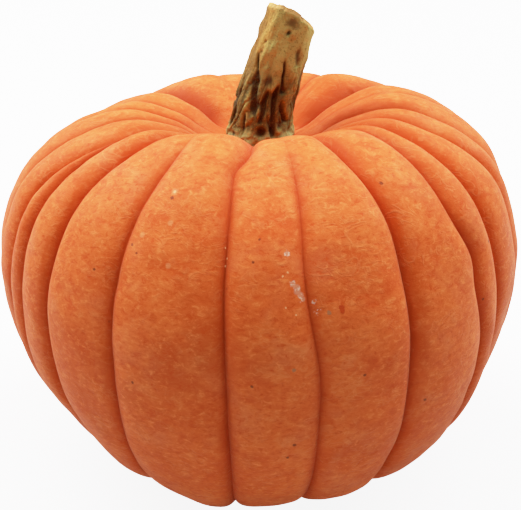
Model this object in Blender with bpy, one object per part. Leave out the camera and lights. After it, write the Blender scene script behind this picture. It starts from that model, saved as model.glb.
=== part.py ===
"""A ribbed orange pumpkin with its dry cut stem, resting on the flat spot under it.

Metres, +Z up, -Y the front. The origin is on the surface that it rests on, under the middle of
the fruit. Two pieces grew here: the fruit, one closed skin pressed in along its grooves, and the
stem, which stands in the hollow on top and ends in a slanting cut.
"""

import math

import bmesh
import bpy
from mathutils import Vector
from mathutils.geometry import interpolate_bezier

# The fruit's outline: (distance from the axis, height), from the flat spot up to the stem's seat.
FLAT_SPOT_RADIUS = 0.034
SEAT_RADIUS = 0.0185
SEAT_HEIGHT = 0.1485
OUTLINE = (
    (FLAT_SPOT_RADIUS, 0.0),
    (0.0500, 0.0015),
    (0.0725, 0.0120),
    (0.0955, 0.0270),
    (0.1140, 0.0530),
    (0.1230, 0.0785),
    (0.1235, 0.1090),
    (0.1100, 0.1385),
    (0.0900, 0.1567),
    (0.0620, 0.1658),
    (0.0390, 0.1600),
    (0.0260, 0.1520),
    (SEAT_RADIUS, SEAT_HEIGHT),
)
STEPS_PER_SPAN = 2
LEVEL_START = 0.012  # how firmly the outline leaves the flat spot level

# The grooves: (degrees round from the front towards +X, degrees more near the stem, depth).
GROOVES = (
    (-4, -1, 0.0045),
    (12, -3, 0.0042),
    (31, -4, 0.0055),
    (47, -4, 0.0035),
    (64, -4, 0.0065),
    (79, -5, 0.0040),
    (89, 3, 0.0060),
    (104, 3, 0.0020),
    (123, 6, 0.0075),
    (152, 0, 0.0060),
    (175, 0, 0.0050),
    (198, 0, 0.0060),
    (225, -2, 0.0080),
    (240, -1, 0.0050),
    (259, 5, 0.0035),
    (281, 2, 0.0040),
    (290, 4, 0.0065),
    (301, 4, 0.0045),
    (313, 3, 0.0065),
    (332, 1, 0.0042),
)
STEPS_PER_RIB = 6
CROWDING = 0.07  # how far the steps across a rib draw in towards its grooves
ARCH_SHARE = 0.6  # of a groove's depth: the rib's own round; the rest is the narrow crease
ARCH_POWER = 2.4
CREASE_WIDTH = 0.07  # in rib widths
ROOT_REACH = 0.060  # the grooves grow shallow within this distance of the stem or the flat spot

# How the fruit leans away from a turned shape, as shares of its radius.
MIDDLE_HEIGHT = 0.091
CROWN_HEIGHT = 0.070
CROWN_SHIFT = 0.003  # towards +X, in metres
SHOULDER_TO_RIGHT = 0.026
SHOULDER_TO_FRONT = 0.036
BELLY_TO_RIGHT = 0.020
BELLY_TO_BACK = 0.025
BELLY_OVAL = 0.045
FOOT_TO_RIGHT = 0.024
FOOT_TO_FRONT = 0.028
FOOT_OVAL = 0.100
OVAL_TURN = math.radians(10)

# The stem: (height above the seat, shift towards +X off the crown's axis, half width), cut above.
FIT_GAP = 0.0003
STEM_SECTIONS = (
    (0.000, 0.0010, 0.0142),
    (0.003, 0.0010, 0.0150),
    (0.011, 0.0014, 0.0140),
    (0.020, 0.0032, 0.0139),
    (0.030, 0.0062, 0.0135),
    (0.041, 0.0094, 0.0127),
    (0.055, 0.0135, 0.0120),
    (0.075, 0.0193, 0.0118),
)
STEM_STEPS = 28
STEM_RIDGES = 7
STEM_RIDGE_HEIGHT = 0.0009
STEM_DEPTH_SHARE = 0.92  # its thickness from front to back, as a share of its width
CUT_HEIGHT = 0.0565
CUT_SHIFT = 0.0140
CUT_FALL_RIGHT = math.radians(31)
CUT_FALL_BACK = math.radians(16)

SAME_PLACE = 1e-6


def clear_scene():
    for obj in list(bpy.data.objects):
        bpy.data.objects.remove(obj)


def principled(name, colour, roughness):
    material = bpy.data.materials.new(name)
    material.use_nodes = True
    shader = material.node_tree.nodes["Principled BSDF"]
    shader.inputs["Base Color"].default_value = (*colour, 1.0)
    shader.inputs["Roughness"].default_value = roughness
    shader.inputs["Metallic"].default_value = 0.0
    return material


def skin_material():
    return principled("pumpkin_skin", (0.76, 0.22, 0.05), 0.55)


def stem_material():
    return principled("dry_stem", (0.36, 0.22, 0.09), 0.85)


def clamp(value):
    return min(1.0, max(0.0, value))


def eased(value):
    """0 to 1 with a level start and end, so that nothing it drives has a kink."""
    part = clamp(value)
    return part * part * (3 - 2 * part)


def smooth_outline():
    """The outline as one smooth curve through its points, level where it leaves the flat spot."""
    points = [Vector(point) for point in OUTLINE]
    slopes = [Vector((LEVEL_START, 0.0))]
    slopes += [(after - before) / 2 for before, after in zip(points, points[2:])]
    slopes.append(points[-1] - points[-2])
    curve = []
    for i in range(len(points) - 1):
        leave = points[i] + slopes[i] / 3
        arrive = points[i + 1] - slopes[i + 1] / 3
        span = interpolate_bezier(points[i], leave, arrive, points[i + 1], STEPS_PER_SPAN + 1)
        curve += span[:-1]
    return curve + [points[-1]]


def outward_normals(curve):
    """At each point of the outline, the direction away from the flesh."""
    normals = []
    for i in range(len(curve)):
        along = curve[min(i + 1, len(curve) - 1)] - curve[max(i - 1, 0)]
        normals.append(Vector((along.y, -along.x)).normalized())
    return normals


def turned_skin(curve):
    """The outline, closed to the axis at both ends, spun once round the axis."""
    mesh = bmesh.new()
    chain = [mesh.verts.new((0, 0, 0))]
    chain += [mesh.verts.new((0, -point.x, point.y)) for point in curve]
    chain.append(mesh.verts.new((0, 0, SEAT_HEIGHT)))
    edges = [mesh.edges.new(pair) for pair in zip(chain, chain[1:])]
    steps = len(GROOVES) * STEPS_PER_RIB
    bmesh.ops.spin(
        mesh, geom=chain + edges, cent=(0, 0, 0), axis=(0, 0, 1), angle=2 * math.pi, steps=steps
    )
    bmesh.ops.remove_doubles(mesh, verts=mesh.verts, dist=SAME_PLACE)
    return mesh


def groove_depth(rib, across):
    """How far the skin is pressed in at this place across a rib: a round arch between two creases."""
    total = 0.0
    for groove, distance in ((rib, across), (rib + 1, 1 - across)):
        arch = ARCH_SHARE * (1 - distance) ** ARCH_POWER
        crease = (1 - ARCH_SHARE) * math.exp(-distance / CREASE_WIDTH)
        total += GROOVES[groove % len(GROOVES)][2] * (arch + crease)
    return total


def azimuth_at(rib, across, above):
    """Degrees round from the front, between a rib's two grooves, which lean as they climb."""
    start, start_lean, _ = GROOVES[rib]
    end, end_lean, _ = GROOVES[(rib + 1) % len(GROOVES)]
    if end < start:
        end += 360
    low = start + start_lean * above
    high = end + end_lean * above
    return low + (high - low) * across


def leaned(radius, height, azimuth):
    """Moves a point of the turned shape to where it grew: shoulders, belly and foot."""
    above = eased((height - MIDDLE_HEIGHT) / CROWN_HEIGHT)
    below = eased((MIDDLE_HEIGHT - height) / MIDDLE_HEIGHT)
    root = eased((radius - SEAT_RADIUS) / ROOT_REACH)
    side = math.sin(azimuth)
    front = math.cos(azimuth)
    oval = math.cos(2 * (azimuth - OVAL_TURN))
    shoulder = SHOULDER_TO_RIGHT * side + SHOULDER_TO_FRONT * front
    belly = BELLY_TO_RIGHT * side - BELLY_TO_BACK * front + BELLY_OVAL * oval
    foot = FOOT_TO_RIGHT * side + FOOT_TO_FRONT * front + FOOT_OVAL * oval
    grown = above * shoulder + (1 - above - below) * belly + below * foot
    reach = radius * (1 + root * grown)
    lift = height + root * above * shoulder * (height - MIDDLE_HEIGHT)
    return Vector((reach * side + CROWN_SHIFT * above, -reach * front, lift))


def press_grooves(mesh, curve, normals):
    """Moves each ring's points to their places across the ribs, and in by the groove's depth."""
    steps = len(GROOVES) * STEPS_PER_RIB
    for vert in mesh.verts:
        radius = math.hypot(vert.co.x, vert.co.y)
        if radius < SAME_PLACE:
            vert.co.x = CROWN_SHIFT if vert.co.z > MIDDLE_HEIGHT else 0.0
            continue
        here = Vector((radius, vert.co.z))
        place = min(range(len(curve)), key=lambda i: (curve[i] - here).length)
        step = round(math.atan2(vert.co.x, -vert.co.y) / (2 * math.pi) * steps) % steps
        rib, part = divmod(step, STEPS_PER_RIB)
        across = part / STEPS_PER_RIB
        across -= CROWDING * math.sin(2 * math.pi * across)
        root = FLAT_SPOT_RADIUS if here.y < MIDDLE_HEIGHT else SEAT_RADIUS
        shallow = clamp((radius - root) / ROOT_REACH)
        pressed = here - normals[place] * groove_depth(rib, across) * shallow
        above = eased((here.y - MIDDLE_HEIGHT) / CROWN_HEIGHT)
        azimuth = math.radians(azimuth_at(rib, across, above))
        vert.co = leaned(pressed.x, pressed.y, azimuth)


def finished_object(name, mesh, material, sharp_angle):
    """Turns a closed mesh's faces outwards and links it as a smooth-shaded object."""
    bmesh.ops.recalc_face_normals(mesh, faces=mesh.faces)
    data = bpy.data.meshes.new(name)
    mesh.to_mesh(data)
    mesh.free()
    data.shade_smooth()
    data.set_sharp_from_angle(angle=sharp_angle)
    data.materials.append(material)
    obj = bpy.data.objects.new(name, data)
    bpy.context.scene.collection.objects.link(obj)
    return obj


def build_fruit():
    curve = smooth_outline()
    mesh = turned_skin(curve)
    press_grooves(mesh, curve, outward_normals(curve))
    return finished_object("fruit", mesh, skin_material(), math.radians(50))


def stem_ring(mesh, height, shift, half_width):
    """One closed loop of edges round the stem, with its long ridges."""
    verts = []
    for step in range(STEM_STEPS):
        turn = 2 * math.pi * step / STEM_STEPS
        ridge = STEM_RIDGE_HEIGHT * math.cos(STEM_RIDGES * turn)
        x = CROWN_SHIFT + shift + (half_width + ridge) * math.sin(turn)
        y = -(half_width * STEM_DEPTH_SHARE + ridge) * math.cos(turn)
        verts.append(mesh.verts.new((x, y, SEAT_HEIGHT + FIT_GAP + height)))
    return [mesh.edges.new(pair) for pair in zip(verts, verts[1:] + verts[:1])]


def cut_stem(mesh):
    """Cuts the stem's end off on a slant and closes it with the flat cut face."""
    tilt = Vector((math.tan(CUT_FALL_RIGHT), math.tan(CUT_FALL_BACK), 1.0)).normalized()
    cut = bmesh.ops.bisect_plane(
        mesh,
        geom=mesh.verts[:] + mesh.edges[:] + mesh.faces[:],
        plane_co=(CROWN_SHIFT + CUT_SHIFT, 0, SEAT_HEIGHT + CUT_HEIGHT),
        plane_no=tilt,
        clear_outer=True,
    )
    rim = [item for item in cut["geom_cut"] if isinstance(item, bmesh.types.BMEdge)]
    bmesh.ops.edgeloop_fill(mesh, edges=rim)


def build_stem():
    """Rings up the leaning stem, bridged one to the next, with a flat foot in the seat."""
    mesh = bmesh.new()
    rings = [stem_ring(mesh, *section) for section in STEM_SECTIONS]
    for lower, upper in zip(rings, rings[1:]):
        bmesh.ops.bridge_loops(mesh, edges=lower + upper)
    bmesh.ops.edgeloop_fill(mesh, edges=rings[0])
    cut_stem(mesh)
    return finished_object("stem", mesh, stem_material(), math.radians(40))


def centre_over_origin(fruit, stem):
    """Slides both pieces so that the fruit's box is centred on the origin."""
    corners = [Vector(corner) for corner in fruit.bound_box]
    middle = (corners[0] + corners[6]) / 2
    for obj in (fruit, stem):
        for vert in obj.data.vertices:
            vert.co -= Vector((middle.x, middle.y, 0.0))


def main():
    clear_scene()
    fruit = build_fruit()
    stem = build_stem()
    centre_over_origin(fruit, stem)


main()
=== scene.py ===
import math

import bpy
import numpy as np
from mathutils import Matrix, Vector


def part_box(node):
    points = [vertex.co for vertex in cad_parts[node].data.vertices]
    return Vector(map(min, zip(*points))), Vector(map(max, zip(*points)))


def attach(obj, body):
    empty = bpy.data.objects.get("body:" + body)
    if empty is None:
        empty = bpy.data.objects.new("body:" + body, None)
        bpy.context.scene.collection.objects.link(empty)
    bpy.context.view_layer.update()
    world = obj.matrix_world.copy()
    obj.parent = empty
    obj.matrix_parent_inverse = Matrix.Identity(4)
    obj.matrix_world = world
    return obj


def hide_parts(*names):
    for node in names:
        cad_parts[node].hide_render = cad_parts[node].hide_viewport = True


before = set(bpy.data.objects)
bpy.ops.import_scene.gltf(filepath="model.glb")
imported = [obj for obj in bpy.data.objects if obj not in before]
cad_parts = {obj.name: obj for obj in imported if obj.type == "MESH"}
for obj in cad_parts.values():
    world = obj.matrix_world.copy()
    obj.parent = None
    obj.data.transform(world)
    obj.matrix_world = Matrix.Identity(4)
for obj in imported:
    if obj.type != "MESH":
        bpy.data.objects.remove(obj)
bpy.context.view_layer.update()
print("frame: loaded", sorted(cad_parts))


# Small sums that several pieces use

def ease(value):
    # 0 to 1 with a level start and end: 3 s squared minus 2 s cubed
    share = np.clip(value, 0, 1)
    return share * share * (3 - 2 * share)


def past(value, step):
    # 0 up to the step's first number, 1 from its second number beyond that
    return ease((value - step[0]) / step[1])


def within(value, step):
    # 0 down to the step's first number, 1 from its second number below that
    return ease((step[0] - value) / step[1])


def turnBetween(turn, at, half=180):
    # the turn from one bearing to another, at most half a turn either way
    return (turn - at + half) % (2 * half) - half


def hump(distance, width):
    # a bell: e to the minus (distance over width) squared
    return np.exp(-(distance / width) ** 2)


def softNoise(points, size, seed, waves=22):
    # the sum of many sine waves running in random directions, each about size metres long,
    # divided so that the result swings about as far as -1 to 1
    draw = np.random.default_rng(seed)
    heading = draw.normal(size=(waves, 3))
    heading /= np.linalg.norm(heading, axis=1)[:, None]
    pace = 2 * math.pi / (size * draw.uniform(0.7, 1.5, waves))
    phase = draw.uniform(0, 2 * math.pi, waves)
    total = np.zeros(points.shape[:-1])
    for k in range(waves):
        total += np.sin(points @ heading[k] * pace[k] + phase[k])
    return total / math.sqrt(waves / 2) * 0.6


def newObject(name, data):
    made = bpy.data.objects.new(name, data)
    bpy.context.scene.collection.objects.link(made)
    return made


def gridPiece(name, points, material, marks):
    # rows of points that each close into a ring; the first and the last row end in one pole point
    rows, columns = points.shape[:2]
    low = points[0].mean(axis=0)[None]
    high = points[-1].mean(axis=0)[None]
    verts = np.concatenate([points.reshape(-1, 3), low, high])
    here = np.arange(columns)
    after = np.roll(here, -1)
    rings = (np.arange(rows - 1) * columns)[:, None]
    above = rings + columns
    quads = np.stack([rings + here, rings + after, above + after, above + here], axis=-1)
    lowPole = np.full(columns, rows * columns)
    top = (rows - 1) * columns
    fans = [
        np.stack([lowPole, after, here], axis=-1),
        np.stack([lowPole + 1, top + here, top + after], axis=-1),
    ]
    loops = np.concatenate([quads.reshape(-1)] + [fan.reshape(-1) for fan in fans])
    sizes = np.concatenate([np.full(quads.size // 4, 4), np.full(2 * columns, 3)])
    mesh = bpy.data.meshes.new(name)
    mesh.vertices.add(len(verts))
    mesh.vertices.foreach_set("co", verts.astype(np.float32).ravel())
    mesh.loops.add(len(loops))
    mesh.loops.foreach_set("vertex_index", loops.astype(np.int32))
    mesh.polygons.add(len(sizes))
    starts = np.concatenate([[0], np.cumsum(sizes)[:-1]])
    mesh.polygons.foreach_set("loop_start", starts.astype(np.int32))
    mesh.update(calc_edges=True)
    mesh.validate()
    mesh.shade_smooth()
    for mark, values in marks.items():
        kind = "FLOAT_VECTOR" if values.ndim == 3 else "FLOAT"
        poles = [values[row].mean(axis=0).reshape(1, -1) for row in (0, -1)]
        flat = np.concatenate([values.reshape(rows * columns, -1)] + poles)
        made = mesh.attributes.new(mark, kind, "POINT")
        made.data.foreach_set("vector" if values.ndim == 3 else "value", flat.astype(np.float32).ravel())
    mesh.materials.append(material)
    print(name + ":", len(mesh.polygons), "faces")
    return newObject(name, mesh)


# Shader building

def addNode(tree, kind, values=None, **settings):
    # values holds numbers, or sockets to link from
    made = tree.nodes.new(kind)
    for key, value in settings.items():
        setattr(made, key, value)
    for key, value in (values or {}).items():
        if isinstance(value, bpy.types.NodeSocket):
            tree.links.new(value, made.inputs[key])
        else:
            made.inputs[key].default_value = value
    return made


def mixColour(tree, share, first, second):
    first = first if isinstance(first, bpy.types.NodeSocket) else (*first, 1)
    second = second if isinstance(second, bpy.types.NodeSocket) else (*second, 1)
    made = addNode(tree, "ShaderNodeMix", {0: share, 6: first, 7: second}, data_type="RGBA")
    return made.outputs[2]


def calc(tree, operation, first, second=0.0, clamp=False):
    made = addNode(tree, "ShaderNodeMath", {0: first, 1: second}, operation=operation, use_clamp=clamp)
    return made.outputs[0]


def times(tree, first, second):
    return calc(tree, "MULTIPLY", first, second)


def vectorCalc(tree, operation, first, second):
    return addNode(tree, "ShaderNodeVectorMath", {0: first, 1: second}, operation=operation).outputs[0]


def remap(tree, value, low, high, toLow=0.0, toHigh=1.0):
    # an eased step: toLow at low, toHigh at high
    made = addNode(
        tree, "ShaderNodeMapRange",
        {"Value": value, "From Min": low, "From Max": high, "To Min": toLow, "To Max": toHigh},
        interpolation_type="SMOOTHSTEP",
    )
    return made.outputs["Result"]


def noise(tree, place, scale, detail=3.0, roughness=0.55, distortion=0.0):
    made = addNode(
        tree, "ShaderNodeTexNoise",
        {"Vector": place, "Scale": scale, "Detail": detail, "Roughness": roughness, "Distortion": distortion},
    )
    return made.outputs["Fac"]


def wobbled(tree, place, scale, detail, amount):
    # the place moved a little by a noise, which gives round marks an uneven edge
    cloud = addNode(tree, "ShaderNodeTexNoise", {"Vector": place, "Scale": scale, "Detail": detail})
    off = vectorCalc(tree, "SUBTRACT", cloud.outputs["Color"], (0.5,) * 3)
    return vectorCalc(tree, "ADD", place, vectorCalc(tree, "MULTIPLY", off, (amount,) * 3))


def attribute(tree, name, output="Fac"):
    return addNode(tree, "ShaderNodeAttribute", attribute_name=name).outputs[output]


def newGroup(name, inputs, outputs):
    tree = bpy.data.node_groups.new(name, "ShaderNodeTree")
    for label, kind, value in inputs:
        socket = tree.interface.new_socket(label, in_out="INPUT", socket_type="NodeSocket" + kind)
        if value is not None:
            socket.default_value = value
    for label, kind in outputs:
        tree.interface.new_socket(label, in_out="OUTPUT", socket_type="NodeSocket" + kind)
    return tree, tree.nodes.new("NodeGroupInput").outputs, tree.nodes.new("NodeGroupOutput").inputs


def useGroup(tree, group, values):
    return addNode(tree, "ShaderNodeGroup", values, node_tree=group).outputs


def blotchGroup():
    # cloudy patches: noise, with the part between Low and High spread from 0 to 1
    tree, given, out = newGroup(
        "blotches",
        [("Place", "Vector", None), ("Scale", "Float", 40), ("Low", "Float", 0.4), ("High", "Float", 0.7),
         ("Detail", "Float", 4)],
        [("Share", "Float")],
    )
    cloud = addNode(
        tree, "ShaderNodeTexNoise",
        {"Vector": given["Place"], "Scale": given["Scale"], "Detail": given["Detail"], "Distortion": 0.4},
    )
    tree.links.new(remap(tree, cloud.outputs["Fac"], given["Low"], given["High"]), out["Share"])
    return tree


def freckleGroup():
    # round dots: the cells of a Voronoi pattern, in the few cells whose random colour is under Share
    tree, given, out = newGroup(
        "freckles",
        [("Place", "Vector", None), ("Scale", "Float", 100), ("Share", "Float", 0.1),
         ("Radius", "Float", 0.2)],
        [("Dots", "Float")],
    )
    cells = addNode(tree, "ShaderNodeTexVoronoi", {"Vector": given["Place"], "Scale": given["Scale"]})
    lucky = addNode(tree, "ShaderNodeSeparateColor", {0: cells.outputs["Color"]})
    here = calc(tree, "LESS_THAN", lucky.outputs[0], given["Share"])
    size = times(tree, given["Radius"], remap(tree, lucky.outputs[1], 0, 1, 0.5, 1.2))
    dot = remap(tree, cells.outputs["Distance"], size, times(tree, size, 0.45))
    tree.links.new(times(tree, here, dot), out["Dots"])
    return tree


def hairlineGroup():
    # fine curved lines: where a noise crosses its middle value, broken up by a second, larger noise
    tree, given, out = newGroup(
        "hairlines",
        [("Place", "Vector", None), ("Scale", "Float", 60), ("Width", "Float", 0.01),
         ("Breaks", "Float", 0.5)],
        [("Lines", "Float")],
    )
    field = noise(tree, given["Place"], given["Scale"], 2.0, 0.5, 0.8)
    off = calc(tree, "ABSOLUTE", calc(tree, "SUBTRACT", field, 0.5))
    line = remap(tree, off, given["Width"], 0.0)
    gaps = noise(tree, given["Place"], times(tree, given["Scale"], 0.63), 2.0)
    keep = remap(tree, gaps, given["Breaks"], calc(tree, "ADD", given["Breaks"], 0.12))
    tree.links.new(times(tree, line, keep), out["Lines"])
    return tree


def spotGroup():
    # one round mark: how near Place is to Centre, against Radius
    tree, given, out = newGroup(
        "spot",
        [("Place", "Vector", None), ("Centre", "Vector", None), ("Radius", "Float", 0.002)],
        [("Share", "Float")],
    )
    away = addNode(
        tree, "ShaderNodeVectorMath", {0: given["Place"], 1: given["Centre"]}, operation="DISTANCE",
    )
    inner = times(tree, given["Radius"], 0.5)
    tree.links.new(remap(tree, away.outputs["Value"], given["Radius"], inner), out["Share"])
    return tree


def clouds(tree, place, pattern, low, high, detail):
    values = {"Place": place, "Scale": pattern[0], "Low": low, "High": high, "Detail": detail}
    return useGroup(tree, blotches, values)[0]


def newMaterial(name):
    material = bpy.data.materials.new(name)
    material.use_nodes = True
    tree = material.node_tree
    tree.nodes.clear()
    shader = tree.nodes.new("ShaderNodeBsdfPrincipled")
    result = tree.nodes.new("ShaderNodeOutputMaterial")
    tree.links.new(shader.outputs[0], result.inputs["Surface"])
    return material, tree, shader


def finishShader(tree, shader, colour, grain, gloss, pattern):
    # the colour, a bump from the grain, and the gloss spread over the pattern's roughness
    strength, distance = pattern["bump"]
    bump = addNode(tree, "ShaderNodeBump", {"Strength": strength, "Distance": distance, "Height": grain})
    low, high, toLow, toHigh = pattern["roughness"]
    links = {"Base Color": colour, "Normal": bump.outputs[0]}
    links["Roughness"] = remap(tree, gloss, low, high, toLow, toHigh)
    for name, socket in links.items():
        tree.links.new(socket, shader.inputs[name])
    shader.inputs["Specular IOR Level"].default_value = pattern["specular"]


blotches = blotchGroup()
freckles = freckleGroup()
hairlines = hairlineGroup()
spot = spotGroup()
print("shader groups: made")


# The fruit

fruit = {
    # (distance from the axis, height) from the flat spot under it up to the stem's seat
    "outline": (
        (0.034, 0.0), (0.05, 0.0015), (0.0725, 0.012), (0.0952, 0.027), (0.1132, 0.053),
        (0.122, 0.0785), (0.1225, 0.109), (0.11, 0.1385), (0.09, 0.1567), (0.062, 0.1658),
        (0.039, 0.16), (0.026, 0.152), (0.0185, 0.1485),
    ),
    "levelStart": 0.012,
    # each groove: (degrees round from the front towards +X; degrees more at the shoulder, near the
    # rim, and at the rim's lip; depth; share of the depth in its narrow crease; depth near the
    # stem as a share)
    "grooves": (
        (-3.8, -1.8, -1.3, 4.6, 0.0042, 0.65, 1.0), (12.6, -3.2, 0.8, 0, 0.0032, 0.5, 0.1),
        (30.6, -1.6, -3.0, 0, 0.0052, 0.55, 1.3), (51.2, -7.6, 1.0, 0, 0.0036, 0.5, 0.9),
        (59.2, -3.7, -1.5, 0, 0.0056, 0.55, 1.3), (73.5, -3, -4, 0, 0.004, 0.45, 0.9),
        (83, 0, 1, 0, 0.0074, 0.45, 1.5), (101, 0, 3, 0, 0.002, 0.3, 0.5),
        (121.5, 1, 4, 0, 0.008, 0.3, 1.7), (152, 0, 0, 0, 0.006, 0.4, 0.45),
        (175, 0, 0, 0, 0.005, 0.4, 0.7), (198, 0, 0, 0, 0.004, 0.4, 0.1),
        (225, -1, -1, 0, 0.0085, 0.3, 1.7), (253, -1, -1, 0, 0.004, 0.35, 0.9),
        (263, 3, 3, 0, 0.003, 0.5, 1.4), (283.5, 1.5, 1, 0, 0.0034, 0.45, 0.9),
        (296, 1, 7.5, 0, 0.0052, 0.5, 1.3), (303.5, 0.3, 2, 0, 0.0034, 0.4, 0.9),
        (315, -0.2, 3, 0, 0.0052, 0.5, 1.2), (333.6, -0.4, 3, 0, 0.0036, 0.45, 0.08),
    ),
    # a groove that strays: (which one, height, height size, degrees), and the same in the crown
    # by distance from the axis
    "strays": ((3, 0.129, 0.012, 2.8),),
    "crownStrays": ((6, 0.036, 0.013, 6.0),),
    # where the turns and the depth change: (from, over how much), the shoulder's by height and
    # the others by distance from the axis
    "shoulderStep": (0.085, 0.055),
    "rimStep": (0.11, 0.045),
    "lipStep": (0.082, 0.022),
    "nearStep": (0.088, 0.034),
    # slow waves in a groove's turn: (degrees, waves' pace along the outline), and in its depth
    "swing": ((0.14, 38), (0.12, 95)),
    "swingStep": (0.02, 0.04),
    "vary": (0.12, 30),
    "rings": 214,
    "ringsBelow": 10,
    "columnsPerRib": 22,
    "crowding": 0.11,             # how much closer the columns lie near a groove
    "archPower": 3.2,
    "creaseWidth": 0.0019,
    "rootReach": 0.045,           # over which the grooves fade in from the seat and the flat spot
    "rootPower": 0.8,
    "seatRadius": 0.0185,
    "middleHeight": 0.091,
    "crownHeight": 0.07,
    "crownShift": 0.003,
    # how far it grew to the right, to the front, and into an oval, as shares of the reach
    "shoulder": (0.026, 0.036, 0),
    "belly": (0.0245, -0.025, 0.045),
    "foot": (0.024, 0.028, 0.1),
    "ovalTurn": 10,
    # rises and dips near the rim: (turn, size in degrees, lift), by height and by distance from the axis
    "swells": (
        (-17, 12, 0.002), (22, 8, 0.0011), (4, 7, -0.0004), (-3, 3.5, -0.0016),
        (180, 18, -0.0026), (142, 14, 0.0007), (-158, 8, 0.0012),
    ),
    "swellHeight": (0.125, 0.035),
    "swellReach": (0.025, 0.03),
    # bulges and hollows of the outer skin: (turn, height; size in degrees, size in height; rise)
    "bulges": (
        (-112, 0.152, 24, 0.028, -0.0045), (88, 0.13, 24, 0.032, -0.0032),
        (-84, 0.112, 14, 0.02, -0.0008), (-8, 0.016, 8, 0.016, 0.0027), (46, 0.03, 12, 0.02, 0.0008),
        (64, 0.068, 10, 0.024, -0.0018), (-50, 0.04, 14, 0.02, -0.0008),
    ),
    "bulgeReach": (0.05, 0.03),
    # small single bumps and dents in the crown: (turn, distance from the axis, size, rise)
    "warts": ((129.7, 0.058, 0.0018, 0.0013), (-116, 0.0245, 0.0012, -0.0007)),
    # noise along the outward direction: (rise, size, seed)
    "roughness": ((0.0005, 0.05, 11), (0.00012, 0.012, 12)),
    "flatSpotStep": (0, 0.01),
    "scar": (0.0035, 0.36),       # where the flower was: (height, size as a share of the flat spot)
    "scarRing": (0.0006, 0.45, 0.1),
    # the skin's reddened strip beside a crease, partly its own colour and partly painted shade that
    # deepens with the groove, the painted shade of the dark line in it, and the painted shade of the
    # darker strip in the deepest grooves: (width, groove depth that gives it in full)
    "band": (0.0034, 0.005),
    "line": (0.0012, 0.003),
    "valley": (0.006, 0.006),
    # painted shade: the strip is wider on the side away from the front, where the groove's shade lies
    "bandLean": 0.6,              # how much wider a strip is on the side away from the front
    "markStep": (0.0185, 0.014),
    # the redder skin round the stem, partly its own colour and partly painted shade in the hollow round the
    # stem, reaching farther on the right: (share, reach, more reach on the right, soft edge)
    "rootRedAndShade": (0.85, 0.034, 0.03, 0.012),
    "ribStretch": (0.12, 0.25),   # across and along, of the pattern that follows a rib
    "seed": 4,
}


def fruitOutline():
    # a cubic through the outline's points: at each point its slope is half the step from the point
    # before to the point after; then rows at equal steps along it
    points = np.array(fruit["outline"])
    slopes = np.empty_like(points)
    slopes[0] = (fruit["levelStart"], 0)
    slopes[1:-1] = (points[2:] - points[:-2]) / 2
    slopes[-1] = points[-1] - points[-2]
    t = np.linspace(0, 1, 60, endpoint=False)[None, :, None]
    start, end = points[:-1, None], points[1:, None]
    leave, arrive = slopes[:-1, None], slopes[1:, None]
    curve = (2 * t**3 - 3 * t**2 + 1) * start + (t**3 - 2 * t**2 + t) * leave
    curve += (3 * t**2 - 2 * t**3) * end + (t**3 - t**2) * arrive
    curve = np.concatenate([curve.reshape(-1, 2), points[-1:]])
    run = np.concatenate([[0], np.cumsum(np.linalg.norm(np.diff(curve, axis=0), axis=1))])
    even = np.linspace(0, run[-1], fruit["rings"])
    radius = np.interp(even, run, curve[:, 0])
    height = np.interp(even, run, curve[:, 1])
    return radius, height, even


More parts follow.
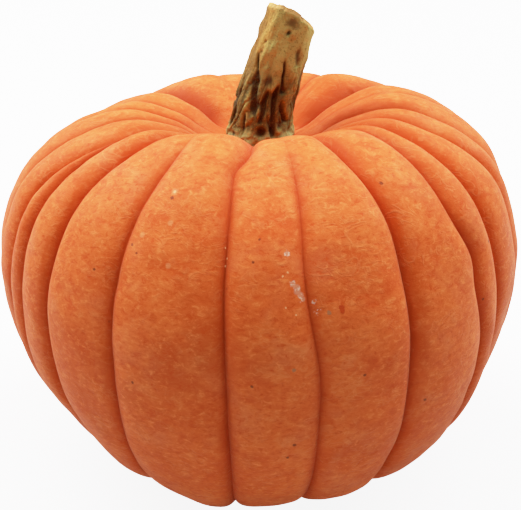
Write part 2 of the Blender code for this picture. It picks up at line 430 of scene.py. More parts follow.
def fruitPoints():
    # The outline spun once round, pressed in along the grooves, then leaned to where it grew.
    # Pressed in: each of a rib's two grooves takes away depth times (an arch falling with the
    # distance across the rib, plus a narrow crease falling as e to the minus distance).
    # Leaned: the reach from the axis is radius times (1 + shares that go as the sine and cosine of
    # the turn, and of twice the turn), with one set of shares for the shoulder, belly and foot.
    # Then bells lift the rim (swells) and push the skin out or in (bulges, warts), with soft noise.
    # The marks say how near a point is to a crease, for the skin's colours: a reddened strip that is partly
    # painted shade, and the painted shade of the crease line and of the deepest grooves.
    begins, atShoulder, atRim, atLip, depths, creaseShares, nearStem = np.array(fruit["grooves"], float).T
    count = len(begins)
    per = fruit["columnsPerRib"]
    rib = np.repeat(np.arange(count), per)
    after = (rib + 1) % count
    part = np.tile(np.arange(per) / per, count)
    across = part - fruit["crowding"] * np.sin(2 * math.pi * part)
    radius, height, along = fruitOutline()
    fall = np.gradient(height)
    rise = np.gradient(radius)
    length = np.hypot(fall, rise)
    outX, outZ = (fall / length)[:, None], (-rise / length)[:, None]
    radius, height, along = radius[:, None], height[:, None], along[:, None]
    upper = height > fruit["middleHeight"]
    draw = np.random.default_rng(fruit["seed"])
    sway = draw.uniform(0, 2 * math.pi, (3, count))
    swing = sum(size * np.sin(along * pace + sway[k]) for k, (size, pace) in enumerate(fruit["swing"]))
    turn = begins[None] + swing * past(radius, fruit["swingStep"])
    turn = turn + atShoulder[None] * past(height, fruit["shoulderStep"])
    turn = turn + atRim[None] * within(radius, fruit["rimStep"]) * upper
    turn = turn + atLip[None] * within(radius, fruit["lipStep"]) * upper
    for which, up, tall, more in fruit["strays"]:
        turn[:, which] += more * hump(height[:, 0] - up, tall)
    for which, reached, wide, more in fruit["crownStrays"]:
        turn[:, which] += more * hump(radius[:, 0] - reached, wide) * upper[:, 0]
    start = turn[:, rib]
    end = turn[:, after] + np.where(after < rib, 360, 0)[None]
    degrees = start + (end - start) * across

    near = within(radius, fruit["nearStep"]) * upper
    size, pace = fruit["vary"]
    vary = 1 + size * np.sin(along * pace + sway[2])
    depth = depths[None] * (1 + (nearStem[None] - 1) * near) * vary
    pressed, band, crease, valley = (np.zeros_like(degrees) for _ in range(4))
    bandWidth, bandDepth = fruit["band"]
    lineWidth, lineDepth = fruit["line"]
    valleyWidth, valleyDepth = fruit["valley"]
    facing = np.sin(np.radians(begins))
    for groove, away, side in ((rib, across, 1), (after, 1 - across, -1)):
        narrow = creaseShares[groove]
        deep = depth[:, groove]
        distance = away * np.radians(end - start) * radius
        arch = (1 - narrow) * (1 - away) ** fruit["archPower"]
        pressed += deep * (arch + narrow * np.exp(-distance / fruit["creaseWidth"]))
        # the reddened strip deepens with the groove (partly painted shade); the crease line and the valley
        # strip are painted shade
        spread = bandWidth * (1 + fruit["bandLean"] * np.clip(2 * side * facing[groove], -1, 1))
        band += hump(distance, spread) * np.clip(deep / bandDepth, 0, 1.2)
        crease += np.exp(-distance / lineWidth) * np.clip(deep / lineDepth, 0, 1)
        valley += hump(distance, valleyWidth) * np.clip((deep - valleyDepth) / valleyDepth, 0, 1)
    root = np.where(height < fruit["middleHeight"], fruit["outline"][0][0], fruit["seatRadius"])
    shallow = np.clip((radius - root) / fruit["rootReach"], 0, 1) ** fruit["rootPower"]
    r = radius - outX * pressed * shallow
    z = height - outZ * pressed * shallow

    azimuth = np.radians(degrees)
    side, front = np.sin(azimuth), np.cos(azimuth)
    oval = np.cos(2 * (azimuth - math.radians(fruit["ovalTurn"])))
    above = ease((z - fruit["middleHeight"]) / fruit["crownHeight"])
    below = ease((fruit["middleHeight"] - z) / fruit["middleHeight"])
    rooted = ease((r - fruit["seatRadius"]) / fruit["rootReach"])
    leans = (fruit[zone] for zone in ("shoulder", "belly", "foot"))
    shoulder, belly, foot = (right * side + ahead * front + more * oval for right, ahead, more in leans)
    grown = above * shoulder + (1 - above - below) * belly + below * foot
    reach = r * (1 + rooted * grown)
    lift = z + rooted * above * shoulder * (z - fruit["middleHeight"])
    swelling = past(height, fruit["swellHeight"]) * past(radius, fruit["swellReach"])
    for at, wide, rise in fruit["swells"]:
        lift = lift + rise * hump(turnBetween(degrees, at), wide) * swelling
    points = np.stack([reach * side + fruit["crownShift"] * above, -reach * front, lift], axis=-1)

    # along the outline's own outward direction
    out = np.stack([outX * side, -outX * front, outZ + 0 * side], axis=-1)
    bumps = sum(rise * softNoise(points, size, seed) for rise, size, seed in fruit["roughness"])
    for at, up, wide, tall, rise in fruit["bulges"]:
        bell = hump(turnBetween(degrees, at), wide) * hump(height - up, tall)
        bumps = bumps + rise * bell * past(radius, fruit["bulgeReach"])
    for at, reached, size, rise in fruit["warts"]:
        away = np.hypot(np.radians(turnBetween(degrees, at)) * radius, radius - reached)
        bumps = bumps + rise * hump(away, size) * upper
    points += out * (bumps * past(height, fruit["flatSpotStep"]) * rooted)[..., None]

    # partly painted shade: the skin round the stem's foot is darker and redder, farther out on the right
    share, redShadeReach, redShadeReachRight, edge = fruit["rootRedAndShade"]
    rootRedAndShade = share * ease((redShadeReach + redShadeReachRight * ease(side * 1.5) - radius) / edge) * upper
    wide, tall = fruit["ribStretch"]
    fade = past(radius, fruit["markStep"])
    marks = {
        "band": np.maximum(band * fade, rootRedAndShade),
        "crease": crease * fade,
        "valley": valley * fade,
        "ribLine": np.stack([side * wide, -front * wide, along * tall + 0 * side], axis=-1),
    }
    return points, marks


def closeUnder(points, marks):
    # the flat spot: rings that shrink to the middle, rising into a shallow scar where the flower was
    low = points[0]
    steps = np.linspace(0.04, 1, fruit["ringsBelow"], endpoint=False)[:, None]
    middle = np.array([low[:, 0].mean(), low[:, 1].mean(), 0.0])
    rings = middle + (low - middle)[None] * steps[..., None]
    rise, wide = fruit["scar"]
    ringRise, ringAt, ringWide = fruit["scarRing"]
    rings[..., 2] = rise * hump(steps, wide) + ringRise * hump(steps - ringAt, ringWide)
    out = {}
    for name, values in marks.items():
        share = steps[..., None] if values.ndim == 3 else np.ones_like(steps)
        out[name] = np.concatenate([values[0][None] * share, values])
    return np.concatenate([rings, points]), out


def closeSeat(points, marks):
    # the seat under the stem: two smaller rings
    seat = points[-1]
    middle = seat.mean(axis=0)
    rings = np.stack([middle + (seat - middle) * share for share in (0.7, 0.35)])
    out = {name: np.concatenate([values, values[-1:], values[-1:]]) for name, values in marks.items()}
    return np.concatenate([points, rings]), out


def skinPoint(turn, height):
    # the outer skin's point nearest to a turn and a height; the hollow round the stem counts as
    # farther off, so that a height there doesn't win over the same height outside
    outer = points[fruit["ringsBelow"]:-2]
    x, y = outer[..., 0] + slide[0], outer[..., 1] + slide[1]
    far = np.hypot(x, y)
    off = np.radians(turnBetween(np.degrees(np.arctan2(x, -y)), turn))
    miss = np.hypot(off * far, outer[..., 2] - height) + 0.01 * (far < 0.04)
    return outer[np.unravel_index(miss.argmin(), miss.shape)]


def addMarks(tree, place, colour):
    moved = wobbled(tree, place, 500, 2, 0.001)
    specks = remap(tree, noise(tree, place, 1100.0, 2.0, 0.6), 0.5, 0.6)
    for kind, strength, spots in skinMarks:
        share = None
        for turn, height, size in spots:
            centre = tuple(skinPoint(turn, height / 1000))
            one = useGroup(tree, spot, {"Place": moved, "Centre": centre, "Radius": size / 1000})[0]
            share = one if share is None else calc(tree, "MAXIMUM", share, one)
        if kind == "soilSpeck":
            share = times(tree, share, specks)
        colour = mixColour(tree, times(tree, share, strength), colour, skin[kind])
    return colour


def skinMaterial():
    # from the widest pattern to the finest, then the grooves' darker strips and crease lines (painted shade,
    # the reddened strip only in part), then the single marks
    material, tree, shader = newMaterial("pumpkinSkin")
    place = addNode(tree, "ShaderNodeTexCoord").outputs["Object"]
    flat = vectorCalc(tree, "MULTIPLY", place, (1, 1, skinPattern["flatten"]))

    def overlay(share, strength, shade):
        return mixColour(tree, calc(tree, "MULTIPLY", share, strength, clamp=True), colour, skin[shade])

    cloud = remap(tree, noise(tree, place, skinPattern["cloud"], 3.0), 0.35, 0.65)
    colour = mixColour(tree, cloud, skin["deep"], skin["crest"])
    soft = clouds(tree, place, skinPattern["dusk"], 0.5, 0.66, 4)
    colour = overlay(soft, skinPattern["dusk"][1], "dusk")
    mottle = noise(tree, flat, skinPattern["mottle"], 7.0, 0.8, 0.3)
    colour = mixColour(tree, remap(tree, mottle, 0.52, 0.26), colour, skin["red"])
    colour = mixColour(tree, remap(tree, mottle, 0.52, 0.76), colour, skin["pale"])
    soft = clouds(tree, flat, skinPattern["patches"], 0.54, 0.68, 5)
    colour = overlay(soft, skinPattern["patches"][1], "red")
    soft = clouds(tree, place, skinPattern["dust"], 0.5, 0.75, 6)
    colour = overlay(soft, skinPattern["dust"][1], "dust")
    ripple = noise(tree, flat, skinPattern["ripple"], 4.0, 0.75, 0.6)
    colour = mixColour(tree, remap(tree, ripple, 0.5, 0.3), colour, skin["red"])
    colour = mixColour(tree, remap(tree, ripple, 0.51, 0.69, 0.0, 0.9), colour, skin["pale"])
    ribNoise = noise(tree, attribute(tree, "ribLine", "Vector"), skinPattern["alongRib"], 5.0, 0.7)
    # the reddened strip beside each crease and the redder skin round the stem: partly the skin's own colour,
    # partly painted shade
    colour = overlay(attribute(tree, "band"), remap(tree, ribNoise, 0.3, 0.7, 0.4, 1.2), "groove")
    wide, fine, strength = skinPattern["lines"]
    lines = useGroup(tree, hairlines, {"Place": flat, "Scale": wide, "Width": 0.034})[0]
    finer = useGroup(tree, hairlines, {"Place": flat, "Scale": fine, "Width": 0.06})[0]
    lines = calc(tree, "MAXIMUM", lines, times(tree, finer, 0.8))
    colour = overlay(lines, strength, "scratch")
    scale, strength = skinPattern["freckles"]
    dots = useGroup(tree, freckles, {"Place": place, "Scale": scale, "Share": 0.05, "Radius": 0.08})[0]
    colour = overlay(dots, strength, "freckle")
    # painted shade: the darker strip in the deepest grooves and the dark line in each crease
    colour = overlay(attribute(tree, "valley"), skinPattern["valley"], "valley")
    colour = overlay(attribute(tree, "crease"), skinPattern["crease"], "crease")
    colour = addMarks(tree, place, colour)

    grain = calc(tree, "ADD", times(tree, ripple, 1.6), times(tree, mottle, 3.0))
    grain = calc(tree, "ADD", grain, times(tree, lines, 0.8))
    finishShader(tree, shader, colour, grain, noise(tree, place, 120.0), skinPattern)
    shader.inputs["Sheen Weight"].default_value = 0.2
    shader.inputs["Sheen Roughness"].default_value = 0.4
    shader.inputs["Sheen Tint"].default_value = (1.0, 0.72, 0.46, 1)
    return material


# waves per metre of each pattern, and how strongly it shows
skinPattern = {
    "flatten": 1.7,               # how much shorter a patch is in height than in width
    "cloud": 26.0,
    "dusk": (34, 0.4),
    "mottle": 62.0,
    "patches": (105, 0.55),
    "dust": (48, 0.2),
    "ripple": 330.0,
    "alongRib": 90.0,
    "lines": (95, 190, 0.18),     # the wider lines, the finer ones, the strength
    "freckles": (90, 0.7),
    # strengths of the painted shade in the deepest grooves and in the creases
    "valley": 0.85,
    "crease": 0.8,
    "bump": (0.35, 0.0004),       # strength and distance
    "roughness": (0.3, 0.7, 0.5, 0.64),
    "specular": 0.05,
}
skin = {
    "crest": (0.77, 0.141, 0.029),
    "deep": (0.72, 0.116, 0.0225),
    "red": (0.62, 0.073, 0.0115),
    "pale": (0.85, 0.207, 0.054),
    "dust": (0.64, 0.24, 0.12),
    "dusk": (0.53, 0.075, 0.015),
    # the groove colour is partly painted shade; the crease and valley colours are painted shade
    "groove": (0.57, 0.064, 0.007),
    "crease": (0.42, 0.034, 0.0035),
    "valley": (0.35, 0.041, 0.0055),
    "scratch": (0.9, 0.32, 0.11),
    "freckle": (0.32, 0.05, 0.012),
    "dot": (0.16, 0.035, 0.012),
    "redSpot": (0.5, 0.04, 0.006),
    "speck": (0.92, 0.46, 0.2),
    "grey": (0.34, 0.16, 0.075),
    "soil": (0.62, 0.34, 0.22),
    "soilSpeck": (0.8, 0.55, 0.4),
}
# marks on the skin: (colour, strength, ((turn in degrees, height in mm, radius in mm), ...))
skinMarks = (
    ("redSpot", 0.35, ((6, 146, 1.4), (3, 137.5, 1.4), (-16.5, 118.5, 2.2), (21, 102.5, 2.6),
                       (27, 75.5, 2.6))),
    ("redSpot", 0.85, ((16, 124, 1.4), (16, 122.6, 1.4))),
    ("dot", 0.85, ((2, 146.3, 0.7), (1, 139.5, 0.7), (-24, 140.6, 0.8), (-22.5, 139, 0.6), (-31, 130, 0.8),
                   (0, 94.5, 0.8), (7.5, 67.5, 1.0), (7, 62, 0.8), (19.5, 96, 0.8), (33.5, 75.5, 0.9),
                   (32.5, 158, 1.0), (95, 165, 0.9), (49.5, 108, 0.8), (-21, 89, 0.8),
                   (53.5, 130, 0.9), (-17, 156, 1.1))),
    ("grey", 0.75, ((13.9, 122.8, 1.0), (8, 102, 1.0))),
    ("speck", 0.75, ((6.7, 136, 0.5), (6.3, 134.7, 0.5), (-4.5, 143, 0.5), (-4, 139, 0.5),
                     (-4.5, 136.5, 0.5), (6, 125.5, 0.5), (8.5, 122.5, 0.5), (-17, 158, 0.8))),
    ("speck", 0.25, ((-17, 158, 1.9), (-22.5, 144.5, 1.5), (-17, 150, 1.4), (-15, 137, 1.4))),
    ("soil", 0.45, ((7.5, 142.3, 1.3), (8, 133, 1.4), (8.3, 131.6, 1.6), (8.7, 130, 1.6), (9.1, 128.4, 1.5),
                    (9.4, 127, 1.1))),
    ("soilSpeck", 0.7, ((7.4, 142.6, 1.6), (8, 133.2, 1.8), (8.4, 131, 1.5), (9, 128.8, 1.5),
                         (9.4, 127.2, 1.5), (11.7, 126.5, 1.3), (12, 124, 1.3), (12, 121.5, 1.2))),
)

points, marks = fruitPoints()
points, marks = closeUnder(points, marks)
points, marks = closeSeat(points, marks)
lowest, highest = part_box("fruit")
slide = np.array([(points[..., axis].min() + points[..., axis].max()) / 2 for axis in (0, 1)] + [0.0])
slide[:2] -= np.array((lowest + highest) / 2)[:2]
points -= slide
pumpkin = gridPiece("fruit_skin", points, skinMaterial(), marks)
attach(pumpkin, "root")
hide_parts("fruit")
print("fruit: slid by", slide.round(5))


# The stem

stem = {
    # (height above the seat, shift towards +X off the crown's axis, half width)
    "sections": (
        (0.0, 0.0012, 0.0147), (0.003, 0.0012, 0.0151), (0.007, 0.0013, 0.0146), (0.011, 0.0017, 0.014),
        (0.02, 0.0037, 0.0137), (0.03, 0.007, 0.0132), (0.041, 0.0105, 0.0124), (0.055, 0.0146, 0.0117),
        (0.075, 0.0204, 0.0115),
    ),
    "seatHeight": 0.1485,
    "seatGap": 0.0003,
    "depthShare": 0.92,           # how thick it is from front to back, as a share of its width
    "columns": 320,
    "rows": 250,
    "facets": 5,
    "facetTurn": -35,
    "facetShare": 0.4,
    "facetStep": (0.012, 0.03),
    # the slanting cut: its height where it is cutShift to the right, its falls in degrees, how far
    # it bows up, and where and over what half width
    "cutHeight": 0.055,
    "cutShift": 0.015,
    "cutFallRight": 31,
    "cutFallBack": 16,
    "cutBow": (0.0014, 0.002, 0.0115),
    "bevel": 0.0021,
    "bevelShare": 0.45,           # how far the bevel goes in, as a share of its height
    "faceRings": 22,
    "rimFall": (0.0007, 0.93, 0.12),  # inside the rim: (fall, from which ring, over how much)
    "pithFall": (0.0022, 0.3),
    # noise: (rise, size, seed), with the heights squeezed for what is drawn out along the stem
    "barkRadius": 0.014,
    "fibreSqueeze": 0.12,
    "fibres": ((0.00022, 0.0045, 33), (0.0001, 0.0018, 34)),
    "fibresAbove": 0.35,
    "fibreStep": (0.05, 0.02),
    "lumps": ((0.0003, 0.009, 35), (0.00013, 0.0045, 39)),
    "footLumps": (0.0008, 0.0042, 36),
    "footStep": (0.012, 0.01),
    "knobs": (0.00005, 0.002, 38),
    "knobWaves": 40,
    "knobStep": (0.04, 0.02),
    "ridgeRise": 0.0004,          # what counts as a full ridge for the colour
    "tears": ((0.0005, 0.0065, 43), (0.0002, 0.0022, 44)),
    "tearRadius": 0.012,
    "pithRoughness": ((0.00025, 0.003, 41), (0.0001, 0.0011, 42)),
    "raggedWidth": (0.25, 0.006, 31),
    "raggedDepth": (0.2, 0.005, 32),
    "furrowEnds": (0.003, 0.006),  # how long a furrow takes to fade at its foot and at its top
    "furrowFull": 0.0022,         # the depth that is darkest
    # cracks: (depth, noise size, seed, squeeze, how narrow, power)
    "cracks": (0.0013, 0.006, 37, 0.25, 2.4, 1.4),
    "cracksInFront": 0.5,
    "crackTop": (0.04, 0.02),
    "crackFoot": (0.003, 0.004),
    # each furrow: (half width, depth, ((height, turn), ...)), in millimetres and degrees
    "furrows": (
        (1.4, 2.2, ((7.5, -72), (11.5, -71), (17, -71), (21, -73), (24.5, -70))),
        (1.5, 2.9, ((15, -19), (19, -22), (23.5, -29), (27.5, -34), (31, -38))),
        (0.9, 2, ((31, -38), (33.5, -40), (37, -48), (40, -55))),
        (0.8, 1.8, ((7, -34), (11, -34), (14.4, -36))),
        (1.3, 2.3, ((11, -4), (16.5, -2), (19, -4), (24.5, -4))),
        (1.2, 2.8, ((5, 22), (9, 21), (14, 19), (19, 15), (23.5, 12), (26.5, 12))),
        (1.3, 2.2, ((10.5, 50), (14.4, 38), (18.2, 31))),
        (0.8, 1.8, ((24.6, 26), (30, 18), (34, 15), (37.8, 10))),
        (1.7, 0.9, ((35, 42), (39.2, 37), (43.2, 33))),
        (1.2, 2.5, ((8, 85), (18, 78), (30, 70))),
        (1.2, 2.6, ((7, 112), (20, 104), (34, 98), (42, 96))),
        (1.3, 2.6, ((8, 142), (18, 136), (29, 134))),
        (1.2, 2.8, ((8, 172), (20, 168), (36, 170))),
        (1.3, 2.6, ((7, 203), (16, 204), (27, 206))),
        (1.2, 2.6, ((8, 232), (20, 236), (38, 240))),
        (1.1, 2.4, ((8, 262), (17, 266), (28, 268))),
    ),
    # round dents and holes: (height, turn, radius, depth), in millimetres and degrees
    "holes": (
        (7.2, 1, 1.8, 3.2), (29.4, -10, 3, 1), (50, 0, 1.1, 1.4),
        (45.8, -44, 0.9, 0.8), (41.2, -48, 0.8, 0.6), (54.4, 1, 3.2, 0.7),
        (24.6, 26, 1.2, 1.4), (9.5, 35, 2, 1.2), (4.8, -58, 1.3, 1.4),
        (41, 150, 1.6, 1), (50, 220, 1.3, 0.9), (45, 95, 1.2, 0.9),
    ),
}


def barkPost(height, turn, squeeze):
    # the bark laid on a round post, for noise
    round3 = [np.sin(turn) * stem["barkRadius"], -np.cos(turn) * stem["barkRadius"], height * squeeze]
    return np.stack(np.broadcast_arrays(*round3), axis=-1)


def stemSurface(height, turn):
    # At a height and a turn: the stem's middle, its reach from it, how deep it lies in a furrow and
    # how far it stands on a ridge.
    # Reach: the half width, flattened into facets (the distance to a polygon's side is the
    # half width over the cosine of the turn from the side's middle, blended in part with a circle),
    # less the furrows (bells across their lines, eased at both ends), the holes (round bells) and
    # the cracks, plus long fibres, soft lumps, more of them round the foot, and fine knobs.
    heights, shifts, halves = np.array(stem["sections"]).T
    shift = np.interp(height, heights, shifts)
    half = np.interp(height, heights, halves)
    step = 2 * math.pi / stem["facets"]
    fromSide = (turn - math.radians(stem["facetTurn"])) % step - step / 2
    polygon = math.cos(step / 2) ** 0.5 / np.cos(fromSide)
    flat = past(height, stem["facetStep"]) * stem["facetShare"]
    reach = half * (1 + (polygon - 1) * flat)

    post = barkPost(height, turn, 1)
    share, size, seed = stem["raggedWidth"]
    ragged = 1 + share * softNoise(post, size, seed)
    share, size, seed = stem["raggedDepth"]
    uneven = 1 + share * softNoise(post, size, seed)
    foot, top = stem["furrowEnds"]
    sink = np.zeros_like(height)
    for width, depth, line in stem["furrows"]:
        heights, turns = np.array(line).T
        heights = heights / 1000
        middle = np.interp(height, heights, np.radians(turns))
        off = turnBetween(turn, middle, math.pi)
        ends = ease((height - heights[0]) / foot + 0.5) * ease((heights[-1] - height) / top + 0.5)
        sink += depth / 1000 * ends * hump(off * half, width / 1000 * ragged) * uneven
    for up, at, size, depth in stem["holes"]:
        off = turnBetween(turn, math.radians(at), math.pi)
        sink += depth / 1000 * hump(np.hypot(off * half, height - up / 1000), size / 1000)
    # cracks: where a noise drawn out along the stem crosses zero, in the lower half
    depth, size, seed, squeeze, narrow, power = stem["cracks"]
    crack = np.abs(softNoise(barkPost(height, turn, squeeze), size, seed))
    crack = np.clip(1 - narrow * crack, 0, 1) ** power
    fewer = 1 - (1 - stem["cracksInFront"]) * ease(np.cos(turn) * 2)
    sink += depth * fewer * crack * within(height, stem["crackTop"]) * past(height, stem["crackFoot"])

    long = barkPost(height, turn, stem["fibreSqueeze"])
    fibres = sum(rise * softNoise(long, size, seed) for rise, size, seed in stem["fibres"])
    above = stem["fibresAbove"]
    fibres = fibres * (above + (1 - above) * within(height, stem["fibreStep"]))
    lumps = sum(rise * softNoise(post, size, seed) for rise, size, seed in stem["lumps"])
    rise, size, seed = stem["footLumps"]
    lumps = lumps + within(height, stem["footStep"]) * rise * softNoise(post, size, seed)
    rise, size, seed = stem["knobs"]
    knobs = rise * (1 + within(height, stem["knobStep"])) * softNoise(post, size, seed, stem["knobWaves"])
    reach = reach - sink + fibres + lumps + knobs
    return shift, reach, sink, (fibres + knobs + 0.5 * lumps) / stem["ridgeRise"]


def stemPoints():
    # the side from the seat up to the slanting cut, then the cut's face in to its middle
    turn = np.linspace(0, 2 * math.pi, stem["columns"], endpoint=False)[None]
    right = math.tan(math.radians(stem["cutFallRight"]))
    back = math.tan(math.radians(stem["cutFallBack"]))
    bowRise, bowAt, bowHalf = stem["cutBow"]
    end = np.full_like(turn, stem["cutHeight"])
    for _ in range(12):  # where each column meets the cut, nearer each time
        shift, reach, _, _ = stemSurface(end, turn)
        x = shift + reach * np.sin(turn)
        y = -reach * stem["depthShare"] * np.cos(turn)
        aside = x - stem["cutShift"]
        bow = bowRise * (1 - ((aside - bowAt) / bowHalf) ** 2)
        end = 0.5 * end + 0.5 * (stem["cutHeight"] - aside * right - y * back + bow)
    # the cut is a little torn at its edge
    edgeRing = np.stack([np.sin(turn), np.cos(turn), 0 * turn], axis=-1) * stem["tearRadius"]
    end = end + sum(rise * softNoise(edgeRing, size, seed) for rise, size, seed in stem["tears"])
    height = np.linspace(0, 1, stem["rows"])[:, None] * end
    turn = np.broadcast_to(turn, height.shape)
    shift, reach, sink, ridge = stemSurface(height, turn)
    edge = ease(1 - (end - height) / stem["bevel"])
    reach = reach - stem["bevelShare"] * stem["bevel"] * edge
    x = shift + reach * np.sin(turn) + fruit["crownShift"]
    y = -reach * stem["depthShare"] * np.cos(turn)
    side = np.stack([x, y, height + stem["seatHeight"] + stem["seatGap"]], axis=-1)

    # the cut face: rings from its rim to its middle, a raised rim, then rough pith with a hollow
    rim = side[-1]
    middle = rim.mean(axis=0)
    rings = np.linspace(0.97, 0.05, stem["faceRings"])[:, None]
    face = middle + (rim - middle)[None] * rings[..., None]
    normal = np.array([right, back, 1.0]) / math.sqrt(right**2 + back**2 + 1)
    rimFall, rimFrom, rimOver = stem["rimFall"]
    pithFall, pithWidth = stem["pithFall"]
    dip = -rimFall * ease((rimFrom - rings) / rimOver) - pithFall * hump(rings, pithWidth)
    rough = sum(rise * softNoise(face, size, seed) for rise, size, seed in stem["pithRoughness"])
    face += normal * (dip + rough * ease((1 - rings) / 0.08))[..., None]

    foot = side[0].mean(axis=0)
    under = foot + (side[0] - foot)[None] * np.array([0.3, 0.65])[:, None, None]
    points = np.concatenate([under, side, face])

    def stack(below, beside, on):
        # a mark's values on the rings under the foot, on the side and on the cut face
        columns = stem["columns"]
        below = np.broadcast_to(below, (2, columns))
        return np.concatenate([below, beside, np.broadcast_to(on, (stem["faceRings"], columns))])

    long = barkPost(height, turn, stem["fibreSqueeze"])
    marks = {
        # the furrow depth and the ridge height steer the painted shade in the furrows and between the lower
        # ridges
        "furrow": stack(0, np.clip(sink / stem["furrowFull"], 0, 1.3), 0),
        "ridge": stack(0, np.clip(0.5 + 0.5 * ridge, 0, 1), 0.5),
        "rise": stack(0, height, stem["cutHeight"]),
        "cut": stack(0, ease(edge / 0.35), ease((rings + 0.2) / 0.9)),
        # how far a point faces left, for the painted light and shade by side
        "left": stack(0.5, 0.5 - 0.5 * np.sin(turn + 0.35), 0.5),
        "fibre": np.stack([stack(0, long[..., axis], face[..., axis]) for axis in range(3)], axis=-1),
    }
    return points, marks


def barkPoint(up, turn):
    # the bark's point at a height in mm above the seat and a turn in degrees
    height, azimuth = np.array([up / 1000]), np.array([math.radians(turn)])
    shift, reach, _, _ = stemSurface(height, azimuth)
    x = shift + reach * np.sin(azimuth) + fruit["crownShift"] - slide[0]
    y = -reach * stem["depthShare"] * np.cos(azimuth) - slide[1]
    return float(x[0]), float(y[0]), float(height[0] + stem["seatHeight"])


def stemMaterial():
    # painted light and shade by side (a lit left side, a shaded right side, painted shade on the lower
    # left and the far left edge), patches, the browner lower half with painted shade between its ridges
    # and painted light on their tops, the corky collar, single marks, painted shade in the furrows and
    # two dents, the cut and a fine speckle
    material, tree, shader = newMaterial("dryStem")
    place = addNode(tree, "ShaderNodeTexCoord").outputs["Object"]
    furrow, rise, ridge = (attribute(tree, name) for name in ("furrow", "rise", "ridge"))
    left = attribute(tree, "left")
    fibre = attribute(tree, "fibre", "Vector")

    def overlay(share, strength, shade):
        return mixColour(tree, times(tree, share, strength), colour, wood[shade])

    streaks = clouds(tree, fibre, woodPattern["streaks"], 0.35, 0.7, 5)
    broken = times(tree, streaks, woodPattern["streaks"][1])
    # painted light and shade by side: the left side is lit, the far right side is shaded
    sunny = calc(tree, "SUBTRACT", remap(tree, left, 0.56, 0.74), broken, clamp=True)
    colour = mixColour(tree, sunny, wood["mid"], wood["light"])
    colour = mixColour(tree, remap(tree, left, 0.25, 0.08), colour, wood["shady"])
    # painted shade on the lower left and along the far left edge
    paintedLeftShade = times(tree, remap(tree, left, 0.58, 0.76), remap(tree, rise, 0.046, 0.038))
    paintedLeftShade = calc(tree, "MAXIMUM", paintedLeftShade, remap(tree, left, 0.8, 0.95))
    colour = mixColour(tree, paintedLeftShade, colour, wood["leftSideShade"])
    soft = clouds(tree, place, woodPattern["patches"], 0.45, 0.7, 5)
    colour = overlay(soft, woodPattern["patches"][1], "brown")
    low = remap(tree, rise, 0.04, 0.02)
    colour = overlay(low, woodPattern["low"], "brown")
    # painted shade in the hollows between the lower ridges, and painted light on the ridge tops
    between = times(tree, remap(tree, ridge, 0.66, 0.3), low)
    colour = overlay(between, woodPattern["hollow"], "hollow")
    crest = times(tree, remap(tree, ridge, 0.55, 0.9), low)
    colour = overlay(crest, woodPattern["crest"], "mid")
    lumpy = clouds(tree, place, woodPattern["lumpy"], 0.4, 0.65, 4)
    lumpy = times(tree, lumpy, woodPattern["lumpy"][1])
    foot = mixColour(tree, lumpy, wood["collar"], wood["brown"])
    atFoot = times(tree, remap(tree, rise, 0.009, 0.004), woodPattern["collar"])
    colour = mixColour(tree, atFoot, colour, foot)
    moved = wobbled(tree, place, 400, 3, 0.004)
    for kind, strength, spots in woodMarks:
        for up, turn, size in spots:
            values = {"Place": moved, "Centre": barkPoint(up, turn), "Radius": size / 1000}
            colour = overlay(useGroup(tree, spot, values)[0], strength, kind)
    # painted shade: darker with the furrow's depth
    dark = remap(tree, furrow, 0.1, 0.6)
    colour = mixColour(tree, dark, colour, wood["dark"])
    colour = mixColour(tree, attribute(tree, "cut"), colour, wood["cut"])
    speckle = noise(tree, place, woodPattern["speckle"], 3.0, 0.7)
    colour = mixColour(tree, remap(tree, speckle, 0.48, 0.3, 0.0, 0.8), colour, wood["brown"])
    bright = remap(tree, speckle, 0.53, 0.72, 0.0, 0.7)
    bright = calc(tree, "SUBTRACT", bright, times(tree, dark, 0.6), clamp=True)
    colour = mixColour(tree, bright, colour, wood["light"])

    grain = times(tree, noise(tree, place, 700.0, 4.0, 0.7), 1.5)
    grain = calc(tree, "ADD", noise(tree, fibre, 900.0, 3.0), grain)
    finishShader(tree, shader, colour, grain, streaks, woodPattern)
    return material


# waves per metre of each pattern, and how strongly it shows
woodPattern = {
    "streaks": (260, 0.3),
    "patches": (130, 0.2),
    "lumpy": (300, 0.45),
    "low": 0.78,
    # strengths of the painted shade between the lower ridges and of the painted light on their tops
    "hollow": 0.75,
    "crest": 0.42,
    "collar": 0.85,
    "speckle": 1100.0,
    "bump": (0.55, 0.0006),       # strength and distance
    "roughness": (0, 1, 0.72, 0.9),
    "specular": 0.25,
}

wood = {
    # colours by side: the first is also the painted light of the lit left side, the third is painted shade on
    # the far left edge and the lower left, the fourth colours the shaded right side
    "light": (0.485, 0.25, 0.048),
    "mid": (0.48, 0.38, 0.1),
    "leftSideShade": (0.255, 0.113, 0.0135),
    "shady": (0.5, 0.435, 0.115),
    # painted shade between the lower ridges
    "hollow": (0.072, 0.06, 0.013),
    "brown": (0.165, 0.114, 0.0195),
    "rust": (0.23, 0.12, 0.026),
    # painted shade in the furrows and in two dents
    "dark": (0.062, 0.032, 0.007),
    "collar": (0.31, 0.3, 0.105),
    "cut": (0.66, 0.355, 0.11),
}
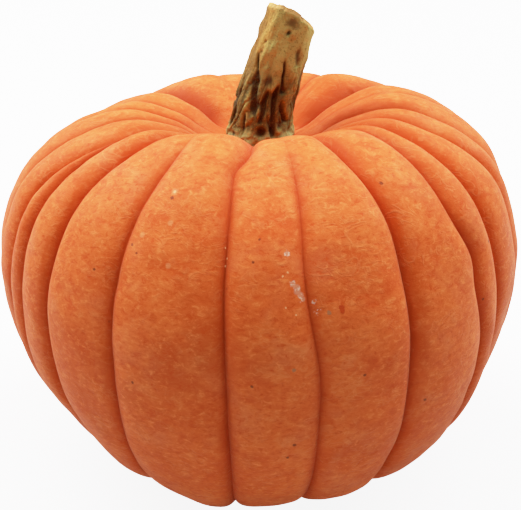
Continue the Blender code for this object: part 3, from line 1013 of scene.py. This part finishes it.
# marks on the bark: (colour, strength, ((height in mm above the seat, turn, radius in mm), ...))
woodMarks = (
    ("light", 0.7, ((49.5, -42, 2.6), (48, -44, 2.2), (49, -15, 1.5), (47.8, 7, 1.9), (47.8, 13, 1.5),
                    (42, -60, 2.0))),
    ("light", 0.5, ((48, -18, 1.0), (45.5, -17, 1.0), (43, -16, 1.0), (40.6, -14, 1.0), (27, 2, 1.0),
                    (26.8, 9, 0.9))),
    ("rust", 0.6, ((54.8, -8, 1.9), (54.6, -2, 2.2), (54.2, 4, 2.3), (53.6, 11, 2.0), (29.4, -14, 2.2),
                   (29.6, -7, 2.4), (42, 34, 1.9), (39, 37, 1.8))),
    # painted shade in two dents (the holes at 50 mm, 0 degrees and 45.8 mm, -44 degrees)
    ("dark", 0.6, ((50, 0, 1.1), (45.8, -44, 0.9))),
)

points, marks = stemPoints()
points -= slide
stalk = gridPiece("stem_bark", points, stemMaterial(), marks)
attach(stalk, "root")
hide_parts("stem")


# Floor, light and camera

studio = {
    "aim": (0.0043, 0.0, 0.0918),  # in the fruit's own axes, before it was slid over the origin
    "distance": 0.55,
    "down": 24.3,                 # degrees
    "lens": 81.54,
    "floorRadius": 6.0,
    "floorBounce": 0.47,
    "floorGlow": 1.9,             # seen by the camera only, so that the shadow stays pale
    "surround": 0.05,
    "lightDistance": 1.8,
    "lightsAim": 0.09,            # the height they face
    # each light: (degrees round from the front towards +X, degrees up, disc size, power in watts)
    "lights": {
        "overhead": (0, 90, 1.9, 40.0),
        "backLeft": (-120, 45, 1.9, 70.0),
        "backRight": (120, 45, 1.9, 54.0),
    },
    "shoulderPower": 2.2,         # how softly the picture's tones bend over towards white
    "brightest": 5.0,
}


def lookAt(thing, place, target):
    thing.location = place
    thing.rotation_euler = (Vector(target) - Vector(place)).to_track_quat("-Z", "Y").to_euler()


def makeFloor():
    mesh = bpy.data.meshes.new("floor")
    turn = np.linspace(0, 2 * math.pi, 96, endpoint=False)
    ring = np.stack([np.cos(turn), np.sin(turn), 0 * turn], axis=-1) * studio["floorRadius"]
    mesh.from_pydata(ring.tolist(), [], [list(range(len(turn)))])
    floor = newObject("floor", mesh)
    material, tree, shader = newMaterial("paleFloor")
    camera = addNode(tree, "ShaderNodeLightPath").outputs["Is Camera Ray"]
    bounce = (studio["floorBounce"],) * 3
    tree.links.new(mixColour(tree, camera, bounce, (0.5, 0.5, 0.5)), shader.inputs["Base Color"])
    tree.links.new(mixColour(tree, camera, (0, 0, 0), (1, 1, 1)), shader.inputs["Emission Color"])
    shader.inputs["Emission Strength"].default_value = studio["floorGlow"]
    shader.inputs["Roughness"].default_value = 0.9
    shader.inputs["Specular IOR Level"].default_value = 0.1
    floor.data.materials.append(material)


def makeLight():
    world = bpy.data.worlds.new("studio")
    bpy.context.scene.world = world
    world.use_nodes = True
    tree = world.node_tree
    tree.nodes.clear()
    path = addNode(tree, "ShaderNodeLightPath")
    seen = addNode(tree, "ShaderNodeBackground", {"Color": (1, 1, 1, 1), "Strength": studio["brightest"]})
    lit = addNode(tree, "ShaderNodeBackground", {"Color": (1, 1, 1, 1), "Strength": studio["surround"]})
    both = addNode(
        tree, "ShaderNodeMixShader",
        {0: path.outputs["Is Camera Ray"], 1: lit.outputs[0], 2: seen.outputs[0]},
    )
    addNode(tree, "ShaderNodeOutputWorld", {"Surface": both.outputs[0]})
    middle = Vector((0, 0, studio["lightsAim"]))
    for name, (around, up, size, power) in studio["lights"].items():
        data = bpy.data.lights.new(name, "AREA")
        data.shape = "DISK"
        data.size = size
        data.energy = power
        light = newObject(name, data)
        turn, rise = math.radians(around), math.radians(up)
        away = Vector((math.cos(rise) * math.sin(turn), -math.cos(rise) * math.cos(turn), math.sin(rise)))
        lookAt(light, middle + away * studio["lightDistance"], middle)


def makeCamera():
    data = bpy.data.cameras.new("camera")
    data.lens = studio["lens"]
    data.sensor_width = 36
    camera = newObject("camera", data)
    down = math.radians(studio["down"])
    aim = Vector(studio["aim"]) - Vector(slide)
    camera.location = aim + studio["distance"] * Vector((0, -math.cos(down), math.sin(down)))
    camera.rotation_euler = (math.pi / 2 - down, 0, 0)
    bpy.context.scene.camera = camera


def softTones():
    # each channel bends over softly: x over (1 + x to the power p) to the power 1 over p
    settings = bpy.context.scene.view_settings
    settings.view_transform = "Standard"
    settings.use_curve_mapping = True
    curves = settings.curve_mapping
    curves.white_level = (studio["brightest"],) * 3
    bend = studio["shoulderPower"]
    line = curves.curves[3]
    for light in (0.1, 0.25, 0.5, 0.8, 1.2, 1.8, 2.8):
        line.points.new(light / studio["brightest"], light / (1 + light**bend) ** (1 / bend))
    curves.update()


makeFloor()
makeLight()
makeCamera()
softTones()
print("studio: floor, light and camera made")
